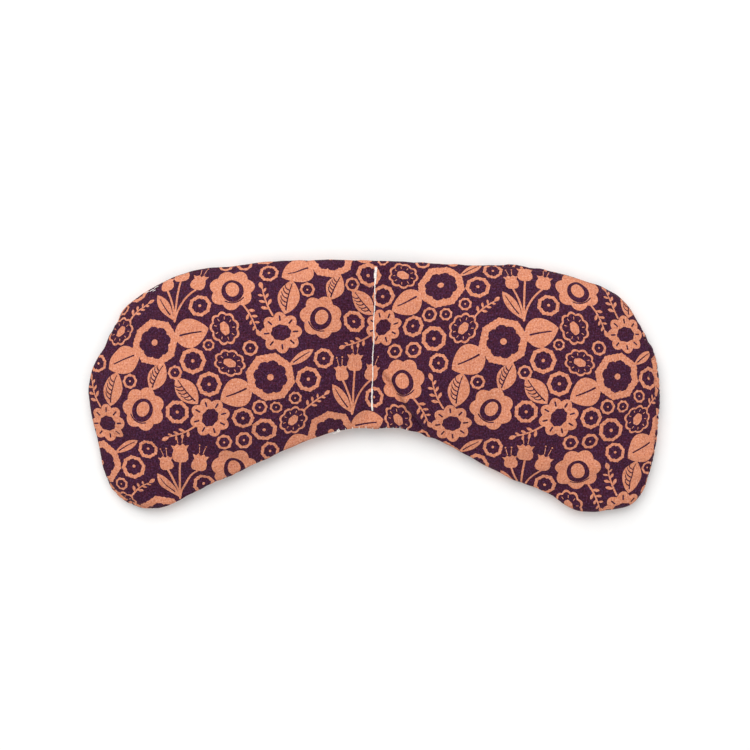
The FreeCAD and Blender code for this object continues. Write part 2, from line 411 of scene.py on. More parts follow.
def simulated_bag():
    """Two panels, sewn round their edge and down the middle, blown out by their fill over the floor.

    Returns the flat points and where each lies on the front and on the back, in mm."""
    flat, faces, edge = quilted(BAG_GRID, BAG_GRID, BAG_GRID * 0.55)
    count = len(flat)
    from_line = np.abs(flat[:, 0] - FOLD_X)
    sewn = (from_line < 1e-6) & (flat[:, 1] > STITCH_BOTTOM) & (flat[:, 1] < STITCH_TOP)
    sewn[:len(edge)] = True
    back_of = np.arange(count)
    back_of[~sewn] = count + np.arange((~sewn).sum())
    bulge = 2.0 * ease(np.minimum(EDGE.nearest(flat)[1], from_line + 1), 0, 12) + 0.15
    front = stack(*flat.T, SEAM_Z + np.where(sewn, 0, bulge))
    back = stack(*flat.T, SEAM_Z - np.where(sewn, 0, bulge))
    together = np.vstack([front, back[~sewn]])
    triangles = np.vstack([faces, back_of[faces][:, ::-1]])
    settled = settle(together * [*SLACK, 1.0], together, triangles, sewn)
    return flat, settled[:count], settled[back_of]


# ---- printed shapes

DARK, PALE = 0.0, 1.0


def ring_points(radius, count, share=1.0, lobes=0, depth=0.0, squeeze=1.0, sides=0, fringe=0.0, rise=0.0):
    """A closed ring: plain, with petals or flat sides, and with a cut-paper fringe if one is asked for."""
    step = np.arange(count)
    angle = step * 2 * math.pi / count
    reach = np.full(count, float(radius * share))
    if lobes:
        reach *= 1 - depth + depth * np.abs(np.cos(lobes * angle / 2))
    if sides:
        part = math.pi / sides
        reach *= 1.05 * math.cos(part) / np.cos((angle % (2 * part)) - part)
    reach += fringe * np.where(step % 4 < 2, 0.5, -0.5)
    return stack(reach * np.cos(angle) * squeeze, rise * radius + reach * np.sin(angle))


def stroke(points, width, taper=0.0):
    """A closed outline round a line of that width, which narrows by the taper's share towards its far end."""
    line = np.array(points, float)
    along = unit(np.gradient(line, axis=0))
    across = turned_left(along)
    half = width / 2 * (1 - taper * np.linspace(0, 1, len(line)))[:, None]
    ends = (line[:1] - along[:1] * half[0] * 0.8, line[-1:] + along[-1:] * half[-1] * 0.8)
    return np.vstack([line - across * half, ends[1], (line + across * half)[::-1], ends[0]])


def arc(start, end, bow, count=7):
    """Points from start to end on a line that bows sideways by a share of its length."""
    a, b = np.array(start, float), np.array(end, float)
    t = np.linspace(0, 1, count)[:, None]
    return a + (b - a) * t + turned_left((b - a)[None]) * bow * 4 * t * (1 - t)


def mirrored(side):
    """A closed outline from its right-hand side, which starts and ends on the Y axis."""
    return np.vstack([side, (side * [-1, 1])[-2:0:-1]])


def leaf_outline(length, width, widest=0.45, count=11):
    """A pointed leaf from the origin along +Y."""
    t = np.linspace(0, 1, count)
    power = math.log(0.5) / math.log(widest)
    return mirrored(stack(width / 2 * np.sin(math.pi * t ** power) ** 0.8, length * t))


def compass(angle):
    """The direction that many degrees clockwise of +Y."""
    return np.array([math.sin(math.radians(angle)), math.cos(math.radians(angle))])


def turned(shapes, angle, place=(0.0, 0.0)):
    """The shapes turned anticlockwise by that many degrees and moved."""
    s, c = compass(angle)
    return [(ink, outline @ [[c, s], [-s, c]] + np.array(place)) for ink, outline in shapes]


# Each flower's rings, outermost first: the ink, and its form as shares of the flower's radius.
RINGS = {
    # A flat-sided ring round a dark flower with a pale dot, large and small, and a thin ring with a dot.
    "rosette": ((PALE, dict(sides=8, fringe=0.17, count=128)),
                (DARK, dict(share=0.72, lobes=8, depth=0.12, fringe=0.14, count=96)),
                (PALE, dict(share=0.14, count=12))),
    "bloom": ((PALE, dict(sides=8, fringe=0.13, count=64)),
              (DARK, dict(share=0.72, lobes=8, depth=0.12, fringe=0.14, count=56)),
              (PALE, dict(share=0.14, count=8))),
    "ring": ((PALE, dict(fringe=0.25, count=32)), (DARK, dict(share=0.7, lobes=6, depth=0.1, count=30)),
             (PALE, dict(share=0.14, count=8))),
    # A solid scalloped flower round a dark egg with a pale yolk, and one with a dark eye.
    "egg": ((PALE, dict(lobes=7, depth=0.17, count=84)),
            (DARK, dict(share=0.56, squeeze=0.86, rise=-0.08, count=28)),
            (PALE, dict(share=0.36, squeeze=0.8, rise=-0.02, count=22))),
    "eye": ((PALE, dict(lobes=8, depth=0.2, count=80)),
            (DARK, dict(share=0.38, squeeze=1.25, fringe=0.25, count=32))),
    # An oval flower drawn in outline, with a pale heart.
    "lace": ((PALE, dict(lobes=9, depth=0.14, squeeze=0.84, count=72)),
             (DARK, dict(share=0.86, lobes=9, depth=0.13, squeeze=0.82, count=72)),
             (PALE, dict(share=0.4, squeeze=0.62, fringe=0.2, count=24))),
}
# The strokes that point outwards on a flower: ink, number, places along one, width, first turn and squeeze.
TICKS = {"eye": (DARK, 8, (0.58, 0.68, 0.8), 0.7, 0, 1.0),
         "lace": (PALE, 9, (0.53, 0.6, 0.68), 0.34, 20, 0.84)}
# Each leaf's width, widest place and number of points, and its midrib's start, end, bow, width and taper.
LEAF_FORMS = {"vein": (0.6, 0.5, 11, (0.0, 0.12), (0.02, 0.9), 0.03, 0.62, 0.4),
              "broad": (0.86, 0.42, 15, (0.0, 0.16), (0.04, 0.78), 0.02, 0.8, 0.3),
              "lance": (0.31, 0.55, 11, (0.0, 0.2), (0.0, 0.84), 0.02, 0.6, 0.5)}
VEINS = 5


def flower(kind, radius):
    """One flower's rings, and the strokes on it."""
    shapes = [(ink, ring_points(radius, **form)) for ink, form in RINGS[kind]]
    if kind in TICKS:
        ink, count, places, width, first, squeeze = TICKS[kind]
        tick = [(ink, stroke([(0, radius * place) for place in places], width))]
        for k in range(count):
            angle = 360 // count * k + first
            shapes += [(ink, outline * [squeeze, 1.0]) for _, outline in turned(tick, angle)]
    if kind == "egg":
        lip = arc((-radius * 0.4, -radius * 0.52), (radius * 0.42, -radius * 0.5), -0.2)
        shapes.append((DARK, stroke(lip, 0.5)))
    return shapes


def leaf(kind, length):
    """One leaf with a dark midrib, and with veins on one side if it is that kind."""
    width, widest, count, start, end, bow, thickness, taper = LEAF_FORMS[kind]
    midrib = arc(np.array(start) * length, np.array(end) * length, bow)
    shapes = [(PALE, leaf_outline(length, length * width, widest, count)),
              (DARK, stroke(midrib, thickness, taper))]
    for k in range(VEINS if kind == "vein" else 0):
        low = length * (0.22 + 0.12 * k)
        reach = length * (0.23 - 0.025 * abs(k - 1.5))
        shapes.append((DARK, stroke(arc((-0.4, low), (-reach, low + length * 0.16), 0.18), 0.58, 0.4)))
    return shapes


def sprig(length):
    """A thin stem with pairs of small leaves."""
    bend = arc((0, 0), (length * 0.08, length * 0.84), 0.05, 9)
    shapes = [(PALE, stroke(bend, 0.75, 0.3))]
    for k in range(1, 7):
        size = length * (0.26 - 0.014 * k)
        shapes += turned([(PALE, leaf_outline(size, size * 0.4, 0.6, 7))], 52 if k % 2 else -52, bend[k + 1])
    return shapes + turned([(PALE, leaf_outline(length * 0.27, length * 0.13, 0.6, 9))], -6, bend[-1])


# The right-hand side of a bell's cup, as shares of its size.
CUP = ((0.0, 0.0), (0.3, 0.05), (0.44, 0.2), (0.45, 0.45), (0.36, 0.68), (0.5, 0.92), (0.3, 0.88),
       (0.16, 1.0), (0.0, 0.6 / 0.68))


def bell(length):
    """A drooping flower seen from the side, with two stamens."""
    shapes = [(PALE, mirrored(np.array(CUP) * [length * 0.62, length * 0.68]))]
    for x in (-0.07 * length, 0.07 * length):
        stamen = [(x, length * 0.7), (x * 1.3, length * 0.82), (x * 1.6, length * 0.94)]
        tip = ring_points(0.36, count=8) + [x * 1.8, length * 1.02]
        shapes += [(PALE, stroke(stamen, 0.3)), (PALE, tip)]
    return shapes


def bouquet(height):
    """Three bells and a narrow leaf on one root."""
    shapes = []
    for lean, share, size in ((-16, 0.5, 0.34), (4, 0.62, 0.4), (30, 0.55, 0.38)):
        tip = compass(lean) * height * share
        shapes.append((PALE, stroke(arc((0, 0), tip, 0.1 * lean / 30, 9), 0.8)))
        shapes += turned(bell(height * size), -lean * 0.5, tip)
    return shapes + turned(leaf("lance", height * 0.5), 34, (-0.4, 0.6))


def drawn(kind, size, place, turn):
    """One motif's shapes, as their inks and outlines, in the order printed."""
    if kind in RINGS:
        shapes = flower(kind, size)
    elif kind in LEAF_FORMS:
        shapes = leaf(kind, size)
    else:
        shapes = sprig(size) if kind == "sprig" else bouquet(size)
    return turned(shapes, turn, place)


# ---- printed pattern

REPEAT = np.array([[71.0, 37.5], [71.0, -37.5]])     # the print's half-drop repeat
PRINT_SHIFT = (np.array([9.0, 4.0]), np.array([31.0, 17.0]))     # where the print starts on each panel
# Each flower: its kind, radius, rough place in the repeat, and turn in degrees.
FLOWERS = (
    ("rosette", 9.4, 4, 2, 10), ("rosette", 9.4, 38, -8, 33), ("egg", 9.3, 20, 12, 12),
    ("egg", 8.8, 57, 5, -30), ("eye", 8.3, 38, 10, 5), ("eye", 8.0, 74, -14, 60), ("lace", 7.0, 22, -8, 20),
    ("lace", 6.6, 55, 20, -35), ("lace", 6.4, 90, 18, 70), ("bloom", 5.1, 12, -14, 0),
    ("bloom", 5.0, 31, 24, 15), ("bloom", 4.9, 48, -22, 8), ("bloom", 4.8, 86, 6, 0),
    ("bloom", 4.6, 65, -3, 20), ("bloom", 4.3, 98, -2, 0), ("ring", 3.1, 14, 18, 0),
    ("ring", 3.0, 30, -20, 0), ("ring", 2.9, 48, 12, 0), ("ring", 2.8, 68, 22, 0), ("ring", 3.0, 104, 10, 0),
)
# Each leaf or sprig: its kind, length, the flower that it grows from, and the way that it points in degrees.
LEAVES = (
    ("broad", 14.5, 0, 215), ("broad", 14.0, 0, 150), ("broad", 13.5, 1, 205), ("vein", 14.5, 4, 20),
    ("vein", 13.5, 5, 330), ("vein", 12.5, 3, 80), ("sprig", 14.0, 4, 280), ("sprig", 13.0, 2, 70),
    ("sprig", 13.0, 5, 200), ("sprig", 12.0, 7, 10), ("lance", 12.0, 1, 100),
)
BOUQUET_HEIGHT, BOUQUET_PLACE = 28.5, (80, -30)
FILLERS = 7                  # small flowers for the widest gaps
FILLER_CLEAR = 0.9           # ground left round each of them


def images(reach):
    """The steps from one repeat to its neighbours, up to that many repeats away, and to itself."""
    steps = range(-reach, reach + 1)
    return [a * REPEAT[0] + b * REPEAT[1] for a in steps for b in steps]


def laid_out():
    """The repeat's motifs, each a kind, size, place and turn, after the flowers have shuffled apart."""
    count = len(FLOWERS)
    places = [(x, y) for _, _, x, y, _ in FLOWERS]
    for _, length, parent, heading in LEAVES:
        away = FLOWERS[parent][1] * 0.9 + length * 0.5
        places.append(places[parent] + away * compass(heading))
    place = np.array([*places, BOUQUET_PLACE], float)
    leaf_reach = [0.5 * length * (0.8 if kind == "broad" else 0.62) for kind, length, _, _ in LEAVES]
    reach = np.array([flower[1] for flower in FLOWERS] + leaf_reach + [BOUQUET_HEIGHT * 0.44])
    for _ in range(300):
        push = np.zeros_like(place)
        for image in images(1):
            apart = place[:, None] - (place + image)[None]
            gap = np.linalg.norm(apart, axis=2)
            near = reach[:, None] + reach[None] + 0.7
            squeeze = np.where((gap < near) & (gap > 1e-6), near - gap, 0.0)
            push += (apart / np.maximum(gap, 1e-6)[..., None] * squeeze[..., None]).sum(1)
        place += 0.18 * push
        for i, (_, length, parent, _) in enumerate(LEAVES, count):
            wanted = FLOWERS[parent][1] * 0.92 + length * 0.5
            place[i] = place[parent] + unit(place[i] - place[parent]) * wanted
    motifs = [(kind, radius, at, turn) for (kind, radius, _, _, turn), at in zip(FLOWERS, place)]
    for (kind, length, parent, _), at in zip(LEAVES, place[count:]):
        way = unit(at - place[parent])
        root = place[parent] + way * FLOWERS[parent][1] * 0.9
        motifs.insert(0, (kind, length, root, math.degrees(math.atan2(-way[0], way[1]))))
    motifs.append(("bouquet", BOUQUET_HEIGHT, place[-1] - [0, BOUQUET_HEIGHT * 0.45], 0))
    return motifs


def fill_gaps(motifs):
    """Adds small flowers where the motifs leave the widest gaps, each as large as its gap allows."""
    share = np.arange(0, 1, 1 / 75)
    u, v = np.meshgrid(share, share)
    spots = stack(u.ravel(), v.ravel()) @ REPEAT
    room = np.full(len(spots), 99.0)
    shapes = [shape for motif in motifs for shape in drawn(*motif)]
    for outline in [outline + image for ink, outline in shapes if ink == PALE for image in images(2)]:
        beyond = np.ptp(outline, axis=0).max() + 12
        near = np.flatnonzero(np.linalg.norm(spots - outline.mean(0), axis=1) < beyond)
        if len(near):
            apart = np.linalg.norm(spots[near, None] - outline[None], axis=2).min(1)
            apart[within(spots[near], outline)] = 0
            room[near] = np.minimum(room[near], apart)
    for _ in range(FILLERS):
        best = int(np.argmax(room))
        radius = room[best] - FILLER_CLEAR
        motifs.append(("bloom" if radius > 3.4 else "ring", radius, spots[best], 12.0))
        for image in images(1):
            apart = np.linalg.norm(spots - spots[best] - image, axis=1)
            room = np.minimum(room, np.maximum(apart - radius, 0))
    return motifs


def print_shapes(low, high):
    """Every printed shape that touches the box from low to high, in the order printed."""
    shapes = []
    for motif in fill_gaps(laid_out()):
        moved = [(ink, outline + image) for image in images(6) for ink, outline in drawn(*motif)]
        shapes += [(ink, at) for ink, at in moved if (at.max(0) > low).all() and (at.min(0) < high).all()]
    return shapes


# ---- smooth surface through the simulated cloth

NEIGHBOURS = 20              # how many simulated points each point of the surface is fitted to
# The lumps of the seed under the cloth: height, wavelength and seed of chance.
LUMPS = ((0.16, 17, 11), (0.07, 7.5, 21), (0.025, 3.2, 31))
# Each tension line in the front: where it starts and ends, its depth and its half width.
TENSION_LINES = (
    ((1.5, 7.0), (13.0, -6.5), 1.1, 2.4),
    ((9.0, -2.0), (20.5, -18.5), 1.3, 2.4),
    ((16.5, -11.5), (21.0, -19.0), 0.9, 1.6),
    ((-1.0, 2.0), (-15.0, -16.5), 0.35, 2.0),
    ((2.0, 44.0), (17.0, 49.0), 0.2, 1.8),
    ((-1.5, 40.0), (-16.0, 47.0), 0.2, 1.8),
)


def soft_floor(z, floor):
    """z, eased so that it never goes below the floor."""
    return floor + SOFTNESS * np.logaddexp(0, (z - floor) / SOFTNESS)


def held(y, below, above, inside=0.0):
    """1 along the centre stitch, fading to 0 over those lengths past its ends and inside them."""
    begun = ease(y, STITCH_BOTTOM - below, STITCH_BOTTOM + inside)
    return begun * (1 - ease(y, STITCH_TOP - inside, STITCH_TOP + above))


def tension(points, start, end, depth, width):
    """A ridge with a groove beside it, along a line where the cloth is drawn tight."""
    a, b = np.array(start), np.array(end)
    along = np.clip(((points - a) @ (b - a)) / ((b - a) @ (b - a)), 0, 1)
    away = (points - a) @ turned_left(unit(b - a)[None])[0]
    beyond = np.linalg.norm(points - (a + along[:, None] * (b - a)), axis=1)
    fade = np.sin(math.pi * np.clip(along, 0.02, 0.98)) ** 0.6
    fade *= np.exp(-(np.maximum(beyond - np.abs(away), 0) / 3) ** 2) * ease(FIELD.depth(points), 0.2, 3.0)
    ridge = 1.1 * np.exp(-((away - width) / width) ** 2)
    return depth * fade * (ridge - 1.3 * np.exp(-(away / (0.6 * width)) ** 2))


def relief(points, side):
    """How far the cloth stands out from its smooth shape: lumps of seed, stitch puckers and tension lines."""
    x, y = points.T
    from_line = np.abs(x - FOLD_X)
    from_edge = FIELD.depth(points)
    lumps = sum(height * waves(points, length, seed + side) for height, length, seed in LUMPS)
    total = lumps * ease(np.minimum(from_edge, from_line), 1.0, 12.0)
    phase = (y - STITCH_BOTTOM) * 2 * math.pi / 7.3 + np.sin(y * 0.31) + np.where(x > FOLD_X, 0.9, 0.0)
    total += 0.14 * held(y, 3, 3, 3) * np.sin(phase) * np.exp(-((from_line - 4.5) / 3.5) ** 2)
    rim = FIELD.rim(points)
    pucker = (0.5 + 0.5 * waves(rim, 40, 71)) * waves(rim, 7.0, 72 + side) + 0.4 * waves(rim, 4.2, 74 + side)
    inward = np.maximum(from_edge, 0) / 3.2
    total += 0.26 * pucker * inward * np.exp(1 - inward)
    if side == 0:
        total += sum(tension(points, *line) for line in TENSION_LINES)
    return total


def relief_slope(points, side, step):
    """How much the relief rises along one short step each way, for each mm."""
    return (relief(points + step, side) - relief(points - step, side)) / (2 * np.linalg.norm(step))


def seam_level(points):
    """The height halfway between the panels: the seam's height, which sags with the edge near it."""
    index, far = EDGE.nearest(points)
    return SEAM_Z - DROOP[index] * (1 - ease(far, 0, 14.0))


class Sheet:
    """A smooth surface through one simulated panel. side is 0 for the front and 1 for the back."""

    def __init__(self, flat, placed, side):
        self.flat, self.placed, self.side = flat, placed, side
        self.up = -1 if side else 1
        self.tree = search_tree(flat)

    def fit(self, points):
        """Places and the two directions along the surface, by a local quadratic fit round each point."""
        near = np.array([[f[1] for f in self.tree.find_n((x, y, 0), NEIGHBOURS)] for x, y in points])
        step = self.flat[near] - points[:, None]
        weight = np.exp(-(np.linalg.norm(step, axis=2) / (1.25 * BAG_GRID)) ** 2)
        side_here = np.sign(points[:, 0] - FOLD_X)[:, None]
        across = np.sign(self.flat[near][..., 0] - FOLD_X) * side_here < 0
        weight *= np.where(across, 1 - 0.99 * held(points[:, 1], 6, 5)[:, None], 1.0)
        u, v = step[..., 0] / BAG_GRID, step[..., 1] / BAG_GRID
        basis = np.stack([np.ones_like(u), u, v, u * u, u * v, v * v], axis=2)
        weighted = basis * weight[..., None]
        square = np.einsum("nki,nkj->nij", weighted, basis) + np.diag([0, 1e-6, 1e-6, 2e-3, 2e-3, 2e-3])
        answer = np.linalg.solve(square, np.einsum("nki,nkc->nic", weighted, self.placed[near]))
        return answer[:, 0], answer[:, 1] / BAG_GRID, answer[:, 2] / BAG_GRID

    def edge_pull(self, points):
        """How far the seam draws the cloth near the edge, and how far a rolled edge pushes the back out."""
        index, far = EDGE.nearest(points)
        droop = DROOP[index]
        level_seam = SEAM[index] + stack(0, 0, droop)
        pull = (level_seam - self.fit(OUTLINE[index])[0]) * (1 - ease(far, 0, 5.0))[:, None]
        if self.side == 1:
            inward = far / 1.6
            swell = 2.7 * ROLL[index] * inward * np.exp(1 - inward)
            pull += swell[:, None] * stack(*EDGE.outward[index].T, -0.2)
        return pull

    def fold_pull(self, points):
        """How far the centre stitch draws in the cloth beside it."""
        x, y = points.T
        line = stack(FOLD_X, y)
        stitched = held(y, 2, 2)[:, None]
        wanted = self.fit(line)[0] * (1 - stitched) + stack(*line.T, SEAM_Z) * stitched
        beside = self.fit(line + stack(np.sign(x - FOLD_X) * 1e-4, 0))[0]
        share = (1 - ease(np.abs(x - FOLD_X), 0, 3.0)) * ease(EDGE.nearest(points)[1], 0, 5.0)
        return (wanted - beside) * share[:, None]

    def at(self, points, lift=CLOTH):
        """Places on the cloth's face that lies that far out, and the normals there."""
        place, along_x, along_y = self.fit(points)
        place[:, 2] += seam_level(points) - SEAM_Z
        for pull, near in ((self.edge_pull, EDGE.nearest(points)[1] < 5.0),
                           (self.fold_pull, np.abs(points[:, 0] - FOLD_X) < 3.0)):
            if near.any():
                place[near] += pull(points[near])
        out = unit(np.cross(along_x, along_y)) * self.up
        height = relief(points, self.side)
        if lift < CLOTH:
            around = [relief(points + step, self.side) for step in ([0.9, 0], [0, 0.9], [-0.9, 0], [0, -0.9])]
            height = np.min([height, *around], axis=0)
        slope_x, slope_y = (relief_slope(points, self.side, step)[:, None] for step in ([0.15, 0], [0, 0.15]))
        tilted = unit(np.cross(along_x + out * slope_x, along_y + out * slope_y)) * self.up
        return place + out * (height + lift)[:, None], tilted


# ---- cloth and fill

def make_piece(name, points, faces, materials, slot_of=None):
    """A smooth-shaded object from points in mm."""
    piece = add_mesh(name, points * MM, faces)
    for material in materials:
        piece.data.materials.append(material)
    if slot_of is not None:
        piece.data.polygons.foreach_set("material_index", np.asarray(slot_of, np.int32))
    piece.data.polygons.foreach_set("use_smooth", np.ones(len(faces), bool))
    return piece


def lay_flat(piece, flat):
    """Gives a piece the flat place of each of its points, in metres, as a UV map."""
    corners = np.zeros(len(piece.data.loops), np.int32)
    piece.data.loops.foreach_get("vertex_index", corners)
    uv = piece.data.uv_layers.new(name="flat")
    uv.data.foreach_set("uv", (flat * MM)[corners].astype(np.float32).ravel())


def inks(points, shapes):
    """The ink at each point: that of the last printed shape over it."""
    result = np.full(len(points), DARK)
    for ink, outline in shapes:
        near = np.flatnonzero(((points > outline.min(0)) & (points < outline.max(0))).all(1))
        result[near[within(points[near], outline)]] = ink
    return result


def printed_patch(side):
    """One panel's flat triangles, cut along the print's outlines, and the ink of each."""
    flip = np.array([-1.0 if side else 1.0, 1.0])
    offset = PRINT_SHIFT[side]
    corners = np.array([OUTLINE.min(0) - 2, OUTLINE.max(0) + 2]) * SLACK * flip + offset
    shapes = print_shapes(corners.min(0), corners.max(0))
    shapes = [(ink, (outline - offset) * flip / SLACK) for ink, outline in shapes]
    flat, faces, _ = quilted(EDGE_STEP, PANEL_GRID, PANEL_GRID * 0.5, [outline for _, outline in shapes])
    ink = inks(flat[faces].mean(1), shapes)
    used, faces = np.unique(faces, return_inverse=True)
    return flat[used], faces.reshape(-1, 3), ink


def edge_inks(faces, ink, loop):
    """The ink of the triangle beside each step of the border."""
    beside = {}
    for face, value in zip(faces.tolist(), ink):
        beside.update(dict.fromkeys(zip(face, face[1:] + face[:1]), value))
    return [beside[pair] for pair in zip(loop.tolist(), np.roll(loop, -1).tolist())]


# The rings round a panel's edge, from its printed face to its wrong side: inset and height.
TURNED_EDGE = ((-0.10, 0.16), (0.02, 0.05), (0.5, 0.015), (ALLOWANCE, 0.015), (ALLOWANCE, 0.015 + CLOTH),
               (1.0, 0.03 + CLOTH))
PRINTED_RINGS = 3            # the first of them, which carry the print


def panel(name, sheet, materials):
    """One side of the bag: printed outer face, turned-in edge and plain inner face, as one closed cloth."""
    flat, faces, ink = printed_patch(sheet.side)
    outer, normals = sheet.at(flat)
    loop = border_loops(faces.tolist())[0]
    rim, count = flat[loop], len(loop)
    index, _ = EDGE.nearest(rim)
    outward = EDGE.outward[index]
    rings = [SEAM[index] + stack(*(rim - OUTLINE[index] - outward * inset).T, sheet.up * height)
             for inset, height in TURNED_EDGE]

    lining = np.vstack([stitch_line(INNER_GRID)[1:-1], grid_inside(INNER_GRID, 2.0)])
    lining_rim = rim - outward * TURNED_EDGE[-1][0]
    lining_flat, lining_faces = triangulate(np.vstack([lining_rim, lining]), loop_links(0, count), lining_rim)
    lining = lining_flat[count:]
    inner, _ = sheet.at(lining, lift=0.0)
    level = seam_level(lining)
    inner[:, 2] = level + sheet.up * np.maximum((inner[:, 2] - level) * sheet.up, 0.03)
    if sheet.side == 1:
        outer[:, 2] = soft_floor(outer[:, 2], FLOOR_Z)
        inner[:, 2] = soft_floor(inner[:, 2], FLOOR_Z + CLOTH)

    # Every group of faces is listed as the front panel has it, and turned over for the back panel.
    groups, slots = [faces], [np.zeros(len(faces))]
    for k in range(len(rings)):
        below = len(outer) + k * count + np.arange(count)
        above = loop if k == 0 else below - count
        groups.append(stack(above, below, np.roll(below, -1), np.roll(above, -1)))
        slots.append(np.full(count, k >= PRINTED_RINGS))
    groups.append((lining_faces + below[0])[:, ::-1])
    slots.append(np.ones(len(lining_faces)))
    face_list = [face for group in groups for face in group[:, ::sheet.up].tolist()]
    points = np.vstack([outer, *rings, inner])
    piece = make_piece(name, points, face_list, materials, np.concatenate(slots))

    face_ink = np.zeros(len(face_list), np.float32)
    face_ink[:len(faces)] = ink
    face_ink[len(faces):len(faces) + PRINTED_RINGS * count] = edge_inks(faces, ink, loop) * PRINTED_RINGS
    piece.data.attributes.new("ink", "FLOAT", "FACE").data.foreach_set("value", face_ink)
    lay_flat(piece, np.vstack([flat, *[rim] * len(rings), lining]) * SLACK)
    # The relief's own normals shade the printed face, except near the edge, where the mesh's normals do.
    edge_band = np.where(ROLL[EDGE.nearest(flat)[0]] > 0.05, 6.0, 2.0)
    custom = np.zeros((len(points), 3))
    custom[:len(outer)] = normals * (FIELD.depth(flat) > edge_band)[:, None]
    piece.data.normals_split_custom_set_from_vertices(custom.tolist())
    return piece


FILL_MARGIN = 1.6            # from the pillow's edge to the seed
FILL_FOLD_GAP = 3.6          # from the fold to where the seed's outline turns
FILL_CLEAR = 0.3             # between the seed and the cloth


def seed_fill(name, front, back, sign):
    """One lobe's loose seeds, as the closed form that they take inside the bag."""
    lobe = OUTLINE[(OUTLINE[:, 0] - FOLD_X) * sign > FILL_FOLD_GAP]
    first = int(np.argmax(np.linalg.norm(lobe - np.roll(lobe, 1, axis=0), axis=1)))
    edge = resample(np.roll(lobe, -first, axis=0), 1.6)
    rim = edge - outwards(edge, 6) * FILL_MARGIN
    rim = rim[np.concatenate([[True], np.linalg.norm(np.diff(rim, axis=0), axis=1) > 0.3])]
    inner = Edge(rim)
    grid = grid_inside(1.7, FILL_MARGIN + 0.8)
    grid = grid[(grid[:, 0] - FOLD_X) * sign > FILL_FOLD_GAP + FILL_MARGIN]
    grid = grid[within(grid, rim)]
    grid = grid[inner.nearest(grid)[1] > 0.7]
    flat, faces = triangulate(np.vstack([rim, grid]), loop_links(0, len(rim)), rim)
    top, _ = front.at(flat, lift=-FILL_CLEAR)
    low, _ = back.at(flat, lift=-FILL_CLEAR)
    low[:, 2] = soft_floor(low[:, 2], FLOOR_Z + CLOTH + FILL_CLEAR)
    middle = (top + low) / 2
    fullness = ease(inner.nearest(flat)[1], -0.1, 3.0)
    top, low = (middle + (face - middle) * np.maximum(fullness, 0.02)[:, None] for face in (top, low))
    grains = 0.16 * waves(flat, 2.6, 51) + 0.12 * waves(flat, 1.9, 52)
    top[:, 2] += np.minimum(grains, 0.1) * fullness
    low[:, 2] = np.maximum(low[:, 2] + np.abs(grains) * fullness, FLOOR_Z + CLOTH + 0.2)
    count, edge_count = len(flat), len(rim)
    under = np.where(faces < edge_count, faces, faces - edge_count + count)
    points = np.vstack([middle[:edge_count], top[edge_count:], low[edge_count:]])
    piece = make_piece(name, points, np.vstack([faces, under[:, ::-1]]).tolist(), [SEEDS])
    lay_flat(piece, np.vstack([flat, flat[edge_count:] + [0, 200]]))
    return piece


# ---- thread shapes

TWIST = 1.1                  # length of one turn of a thread's two strands


def across_path(along):
    """A direction square to a path's own direction, at each of its points or at one."""
    return np.cross(along, [0.3, 0.2, 1.0])


def tube(path, radius, sides=6):
    """Points and faces of a round tube along a path of points."""
    along = unit(np.gradient(path, axis=0))
    side = across_path(along[0])
    angle = (np.arange(sides) * 2 * math.pi / sides)[:, None]
    points = []
    for place, way in zip(path, along):
        side = unit(side - way * (side @ way))
        points.append(place + radius * (np.cos(angle) * side + np.sin(angle) * np.cross(way, side)))
    turns = [(i, (i + 1) % sides) for i in range(sides)]
    last = (len(path) - 1) * sides
    faces = [(k + i, k + j, k + sides + j, k + sides + i) for k in range(0, last, sides) for i, j in turns]
    return np.vstack(points), [*faces, tuple(range(sides))[::-1], tuple(range(last, last + sides))]


def two_ply(path, thickness):
    """Two strands twisted round each other along a path."""
    length = travelled(path)[-1]
    at = np.linspace(0, length, max(6, int(length / 0.14)))
    line = points_along(path, at)
    along = unit(np.gradient(line, axis=0))
    side = unit(across_path(along))
    strands = []
    for start in (0, math.pi):
        turn = (at / TWIST * 2 * math.pi + start)[:, None]
        away = np.cos(turn) * side + np.sin(turn) * np.cross(along, side)
        strands.append(tube(line + thickness * 0.24 * away, thickness * 0.27))
    return strands


def joined(parts):
    """Several points and faces as one."""
    faces, count = [], 0
    for points, part_faces in parts:
        faces += [tuple(i + count for i in face) for face in part_faces]
        count += len(points)
    return np.vstack([points for points, _ in parts]), faces


# ---- materials

def linear(*srgb):
    """A colour given as 0 to 255 screen values."""
    parts = [c / 255 for c in srgb]
    return (*[p / 12.92 if p <= 0.04045 else ((p + 0.055) / 1.055) ** 2.4 for p in parts], 1.0)


